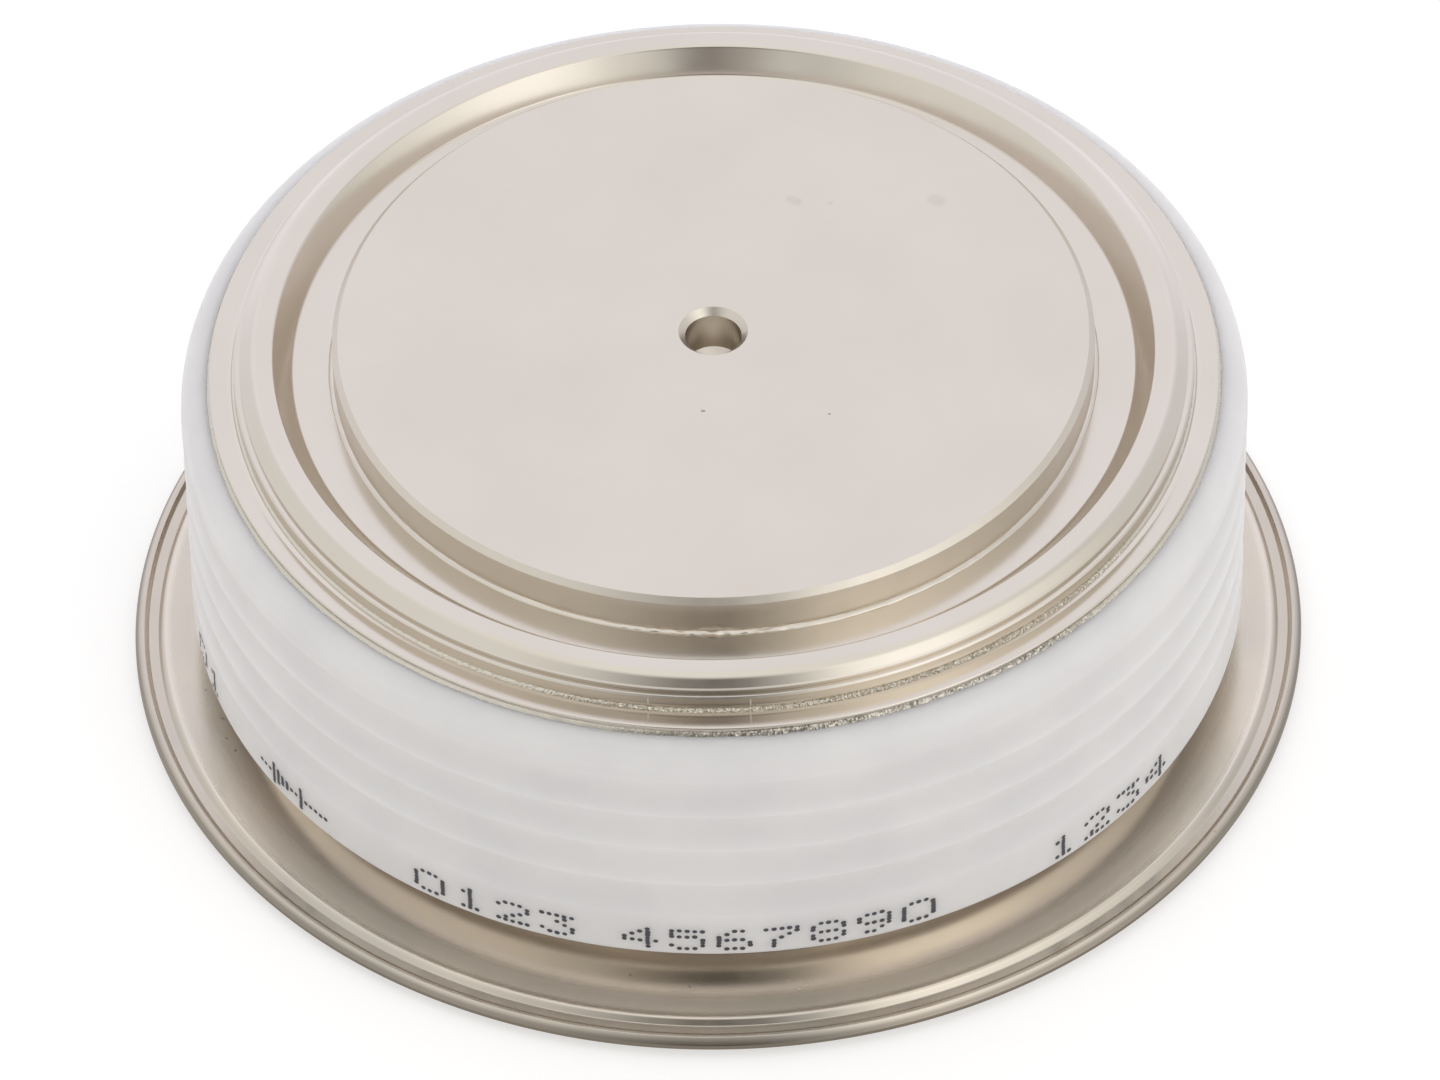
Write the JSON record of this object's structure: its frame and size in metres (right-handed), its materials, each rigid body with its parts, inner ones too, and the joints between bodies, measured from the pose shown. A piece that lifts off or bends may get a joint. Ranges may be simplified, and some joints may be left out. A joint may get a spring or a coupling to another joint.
{
  "type": "press-pack rectifier diode",
  "caption": "Disc-shaped press-pack power diode with nickel-plated pole faces, centring holes, a grooved white ceramic ring and a thin welded flange.",
  "frame": {"origin": "centre of the lower contact face", "axes": "+Z along the axis of the stack, from the lower to the upper contact face"},
  "size_m": [0.0736, 0.0736, 0.026],
  "materials": {
    "plated_pole": "satin nickel plate on turned copper",
    "plated_sheet": "satin nickel plate on formed sheet",
    "plated_ring": "satin nickel plate on a turned ring",
    "braze": "rough silver braze",
    "ceramic_white": "glazed alumina",
    "molybdenum": "lapped",
    "silicon": "polished and metallised",
    "silver": "rolled foil",
    "silicone": "cast",
    "ptfe": "turned"
  },
  "bodies": {
    "root": {"upper_pole": "plated_pole", "upper_diaphragm": "plated_sheet", "upper_pole_braze": "braze", "seal_ring": "plated_ring", "seal_ring_braze": "braze", "cap_ring": "plated_ring", "cap_ring_braze": "braze", "ceramic_ring": "ceramic_white", "housing_flange_braze": "braze", "housing_flange": "plated_sheet", "lower_diaphragm": "plated_sheet", "lower_pole_braze": "braze", "lower_pole": "plated_pole", "lower_foil": "silver", "anode_disc": "molybdenum", "silicon_wafer": "silicon", "passivation_ring": "silicone", "cathode_disc": "molybdenum", "upper_foil": "silver", "centring_ring": "ptfe"}
  },
  "joints": []
}
